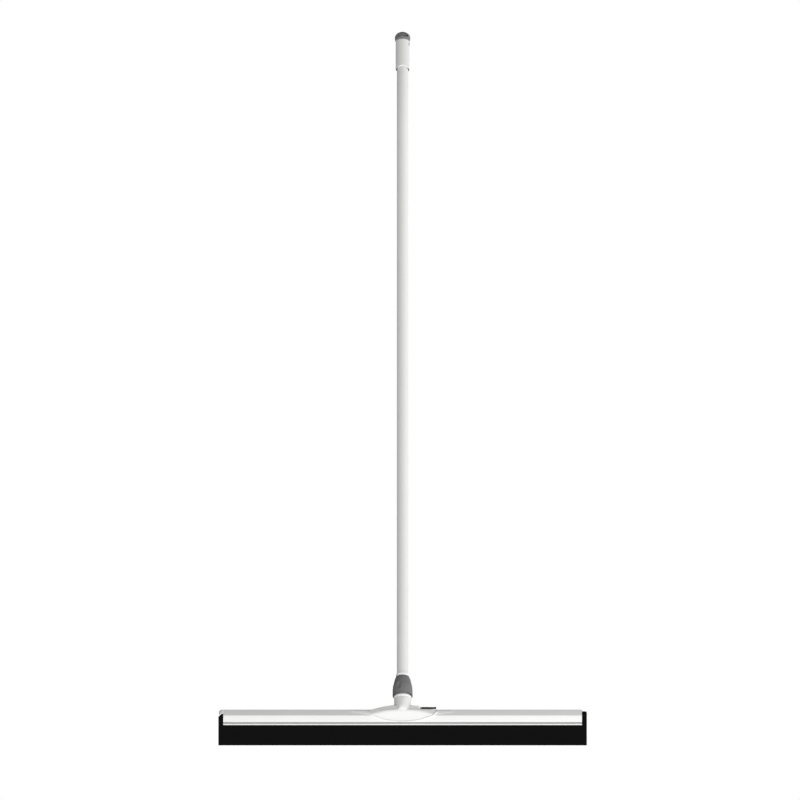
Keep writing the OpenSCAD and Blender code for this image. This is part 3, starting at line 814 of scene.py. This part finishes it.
channel_top = max(v.co.z for v in channel.data.vertices)
print("channel has", len(channel.data.polygons), "faces and reaches up to", round(channel_top, 5))

# %% [markdown]
# At the left end the roof runs on past the walls and is folded down as a stop for the cassette. It is a strip
# of the same sheet, drawn over three rows of points: the end of the walls, the fold and the free edge.

# %% Folded stop
FOLD = math.radians(45)
FOLD_X, STOP_END, STOP_H, STOP_OVERLAP = 370.0, 374.0, 7.5, 0.02
roof_edge = RIDGE_Y + STOP_H / ROOF_SLOPE
roof = [(roof_edge, STOP_H), (RIDGE_Y, 0), (-RIDGE_Y, 0), (-roof_edge, STOP_H)]
work = bmesh.new()
rows = []
for x in (FRAME_END - STOP_OVERLAP, FOLD_X, STOP_END):
    fall = max(0, x - FOLD_X) * math.tan(FOLD)
    rows.append([work.verts.new(Vector((-x, y, RIDGE_Z - fall - drop)) * MM) for y, drop in roof])
for near, far in zip(rows, rows[1:]):
    for i in range(len(roof) - 1):
        work.faces.new((near[i], near[i + 1], far[i + 1], far[i]))
bmesh.ops.recalc_face_normals(work, faces=work.faces)
if work.faces[:][1].normal.z < 0:
    bmesh.ops.reverse_faces(work, faces=work.faces)
stop = link("folded_stop", as_mesh("folded_stop", work))
thick = stop.modifiers.new("Sheet", "SOLIDIFY")
thick.thickness = SHEET * MM
thick.offset = -1
thick.use_even_offset = True
baked(stop)
add_mesh(channel, stop.data)
bpy.data.objects.remove(stop, do_unlink=True)
broken_edges(channel, width_mm=0.25, sharp=40)
seat(channel, coated_sheet, "head", "coated_sheet", "frame_channel")

# %% [markdown]
# Each rubber strip is sawn from a foamed sheet, so its faces wander by a tenth of a millimetre and its edges
# are a little soft. Geometry Nodes draws the strip as a fine grid and moves its points by a seeded noise.

# %% Sawn strip
WAVE, GRID_LONG, GRID_THICK, GRID_HIGH = 14, 376, 6, 31
tree, given = node_tree(
    "Sawn strip",
    Length="Float", Thickness="Float", Height="Float", Middle="Vector",
    Wander="Float", Seed="Float", Finish="Material",
)
size = add_node(tree, "ShaderNodeCombineXYZ", {0: given["Length"], 1: given["Thickness"], 2: given["Height"]})
grid = add_node(
    tree,
    "GeometryNodeMeshCube",
    {"Size": size.outputs[0], "Vertices X": GRID_LONG, "Vertices Y": GRID_THICK, "Vertices Z": GRID_HIGH},
)
put = add_node(tree, "GeometryNodeTransform", {"Geometry": grid.outputs[0], "Translation": given["Middle"]})
here = add_node(tree, "GeometryNodeInputPosition").outputs[0]
noise = add_node(
    tree,
    "ShaderNodeTexNoise",
    {"Vector": here, "W": given["Seed"], "Scale": per_metre(WAVE), "Detail": 3.0},
    noise_dimensions="4D",
).outputs["Color"]
swing = add_node(tree, "ShaderNodeVectorMath", {0: noise, 1: (0.5, 0.5, 0.5)}, operation="SUBTRACT")
shift = add_node(
    tree, "ShaderNodeVectorMath", {0: swing.outputs[0], "Scale": given["Wander"]}, operation="SCALE"
)
wavy = add_node(tree, "GeometryNodeSetPosition", {"Geometry": put.outputs[0], "Offset": shift.outputs[0]})
print("strip is a grid of", GRID_LONG, "by", GRID_THICK, "by", GRID_HIGH, "points")

# %% [markdown]
# At the left end the top corner of each strip is cut away along the folded stop, and no point goes below the
# floor. Both are limits on the height of a point. The tree then runs twice, with a seed for each strip.

# %% Rubber strips
STRIP_LEN, STRIP_T, STRIP_H, WEB_HALF = 750.0, 9.0, 60.0, 3.0
WANDER, CORNER_DROP = 0.25, 9.45
here = add_node(tree, "GeometryNodeInputPosition").outputs[0]
at = add_node(tree, "ShaderNodeSeparateXYZ", {0: here}).outputs
past_fold = add_node(tree, "ShaderNodeMath", {0: at["X"], 1: FOLD_X * MM}, operation="ADD").outputs[0]
rise = add_node(tree, "ShaderNodeMath", {0: past_fold, 1: math.tan(FOLD)}, operation="MULTIPLY").outputs[0]
top = add_node(tree, "ShaderNodeMath", {0: rise, 1: (RIDGE_Z - CORNER_DROP) * MM}, operation="ADD").outputs[0]
on_floor = add_node(tree, "ShaderNodeMath", {0: at["Z"], 1: 0.0}, operation="MAXIMUM").outputs[0]
under = add_node(tree, "ShaderNodeMath", {0: on_floor, 1: top}, operation="MINIMUM").outputs[0]
clear = add_node(tree, "ShaderNodeCombineXYZ", {0: at["X"], 1: at["Y"], 2: under})
sawn = add_node(tree, "GeometryNodeSetPosition", {"Geometry": wavy.outputs[0], "Position": clear.outputs[0]})
end_tree(tree, sawn.outputs[0], given["Finish"])
for blade, sign in (("front_blade", -1), ("rear_blade", 1)):
    strip = link(blade + "_strip", bpy.data.meshes.new(blade + "_strip"))
    middle = Vector((0, sign * (WEB_HALF + STRIP_T / 2), STRIP_H / 2)) * MM
    grow(
        strip, tree, Length=STRIP_LEN * MM, Thickness=STRIP_T * MM, Height=STRIP_H * MM, Middle=middle,
        Wander=WANDER * MM, Seed=2.0 + sign, Finish=moss_rubber,
    )
    broken_edges(strip, width_mm=0.35, sharp=50)
    seat(strip, moss_rubber, "cassette", "moss_rubber", blade)

# %% [markdown]
# Two pan-head screws hold the saddle from inside the channel, with their heads down. The two are alike, so
# one is modelled: half its outline, with a low dome for the head, is spun round the upright axis.

# %% Pan-head screw
SCREW_R, SCREW_TOP, HEAD_R, HEAD_H, HEAD_RIM = 2.0, 79.5, 3.8, 1.6, 0.8
DOME_STEPS = 8
HEAD_TOP = RIDGE_Z - SHEET
outline = [(0, SCREW_TOP), (SCREW_R, SCREW_TOP), (SCREW_R, HEAD_TOP), (HEAD_R, HEAD_TOP)]
for i in range(DOME_STEPS):
    turn = i * math.pi / (2 * DOME_STEPS)
    outline.append((HEAD_R * math.cos(turn), HEAD_TOP - HEAD_RIM - (HEAD_H - HEAD_RIM) * math.sin(turn)))
outline.append((0, HEAD_TOP - HEAD_H))
one_screw = spun("pan_head_screw", outline, steps=40, closed=False)
print("screw has", len(one_screw.data.polygons), "faces")

# %% [markdown]
# Geometry Nodes cuts a cross recess into the head with two bars and sets the screw on a line of two points.

# %% Pair of saddle screws
RECESS_LONG, RECESS_WIDE, RECESS_HIGH = 3.6, 0.8, 2.4
tree, given = node_tree("Screw row", Screw="Object", Count="Int", Pitch="Float", Finish="Material")
step = add_node(tree, "ShaderNodeCombineXYZ", {0: given["Pitch"]}).outputs[0]
back = add_node(tree, "ShaderNodeVectorMath", {0: step, "Scale": -0.5}, operation="SCALE").outputs[0]
row = add_node(
    tree, "GeometryNodeMeshLine", {"Count": given["Count"], "Start Location": back, "Offset": step}
)
model = add_node(tree, "GeometryNodeObjectInfo", {"Object": given["Screw"]})
recess = add_node(tree, "GeometryNodeJoinGeometry")
recess_at = (0, 0, (HEAD_TOP - HEAD_H) * MM)
for arm in ((RECESS_LONG, RECESS_WIDE, RECESS_HIGH), (RECESS_WIDE, RECESS_LONG, RECESS_HIGH)):
    bar = add_node(tree, "GeometryNodeMeshCube", {"Size": Vector(arm) * MM})
    low = add_node(tree, "GeometryNodeTransform", {"Geometry": bar.outputs[0], "Translation": recess_at})
    tree.links.new(low.outputs[0], recess.inputs["Geometry"])
driven = add_node(
    tree,
    "GeometryNodeMeshBoolean",
    {"Mesh 1": model.outputs["Geometry"], "Mesh 2": recess.outputs[0]},
    operation="DIFFERENCE",
).outputs[0]
placed = add_node(tree, "GeometryNodeInstanceOnPoints", {"Points": row.outputs[0], "Instance": driven})
end_tree(tree, placed.outputs[0], given["Finish"])
screws = link("saddle_screw_pair", bpy.data.meshes.new("saddle_screw_pair"))
grow(screws, tree, Screw=one_screw, Count=2, Pitch=2 * SCREW_X * MM, Finish=zinc_steel)
bpy.data.objects.remove(one_screw, do_unlink=True)
broken_edges(screws, width_mm=0.12, sharp=40)
seat(screws, zinc_steel, "head", "plain_steel", "saddle_screws")

# %% [markdown]
# The floor is a plain white sheet that runs far past the picture. It only shows white and neither throws nor
# stops light, because the light that a white floor gives is already in the studio light of the next step.

# %% Floor
FLOOR_HALF, FLOOR_DROP = 60.0, 0.1
floor_mesh = bpy.data.meshes.new("floor")
edge = [(x * FLOOR_HALF, y * FLOOR_HALF) for x, y in ((-1, -1), (1, -1), (1, 1), (-1, 1))]
floor_mesh.from_pydata([(x, y, -FLOOR_DROP * MM) for x, y in edge], [], [(0, 1, 2, 3)])
floor = link("floor", floor_mesh)
pale = bpy.data.materials.new("pale_floor")
pale.use_nodes = True
paint = pale.node_tree.nodes["Principled BSDF"]
paint.inputs["Base Color"].default_value = linear("#000000")
paint.inputs["Specular IOR Level"].default_value = 0.0
paint.inputs["Emission Color"].default_value = linear("#ffffff")
paint.inputs["Emission Strength"].default_value = 1.0
floor.data.materials.append(pale)
floor.visible_diffuse = False
floor.visible_glossy = False
floor.visible_shadow = False
print("floor is", 2 * FLOOR_HALF, "m wide")

# %% [markdown]
# The studio is a white cove lit from in front, from the right and, off its white floor, from below. That is
# why the walls of the frame are brighter than its roof and the tube is darkest on its left. One rule gives
# all of it: the light that comes from a direction grows evenly towards the bright corner of the cove.

# %% Light
BRIGHT_CORNER = Vector((0.50, -0.40, -0.80))
EVEN_LIGHT, LEAST_LIGHT = 0.785, 0.03
world = bpy.data.worlds.new("studio")
world.use_nodes = True
bpy.context.scene.world = world
tree = world.node_tree
tree.nodes.clear()
direction = add_node(tree, "ShaderNodeTexCoord").outputs["Generated"]
towards = add_node(tree, "ShaderNodeVectorMath", {0: direction, 1: BRIGHT_CORNER}, operation="DOT_PRODUCT")
slope = add_node(tree, "ShaderNodeMath", {0: towards.outputs["Value"], 1: EVEN_LIGHT}, operation="ADD")
strength = add_node(tree, "ShaderNodeMath", {0: slope.outputs[0], 1: LEAST_LIGHT}, operation="MAXIMUM")
cove = add_node(tree, "ShaderNodeBackground", {"Color": linear("#ffffff"), "Strength": strength.outputs[0]})
backdrop = add_node(tree, "ShaderNodeBackground", {"Color": linear("#ffffff"), "Strength": 1.0})
seen = add_node(tree, "ShaderNodeLightPath").outputs["Is Camera Ray"]
mixed = add_node(tree, "ShaderNodeMixShader", {0: seen, 1: cove.outputs[0], 2: backdrop.outputs[0]})
add_node(tree, "ShaderNodeOutputWorld", {"Surface": mixed.outputs[0]})
print("brightest light", round(EVEN_LIGHT + BRIGHT_CORNER.length, 2))

# %% [markdown]
# The photograph was taken from far away with a long lens: the blade is 368.5 of 800 pixels wide and shows no
# perspective to speak of. The camera stands 52 m in front, level, at the height of the picture's middle.

# %% Camera
BLADE_PIXELS, PICTURE_PIXELS = 368.5, 800
MIDDLE_RIGHT, MIDDLE_UP = -2.6, 345.4
DISTANCE, SENSOR, FAR = 52.0, 36.0, 200
PIXEL = STRIP_LEN * MM / BLADE_PIXELS
camera_data = bpy.data.cameras.new("camera")
camera_data.sensor_width = SENSOR
camera_data.lens = SENSOR * DISTANCE / (PICTURE_PIXELS * PIXEL)
camera_data.clip_end = FAR
camera = bpy.data.objects.new("camera", camera_data)
bpy.context.scene.collection.objects.link(camera)
camera.location = (MIDDLE_RIGHT * PIXEL, -DISTANCE - (WEB_HALF + STRIP_T) * MM, MIDDLE_UP * PIXEL)
camera.rotation_euler = (math.radians(90), 0, 0)
bpy.context.scene.camera = camera
bpy.context.scene.view_settings.view_transform = "Standard"
print("lens", round(camera_data.lens, 1), "mm")
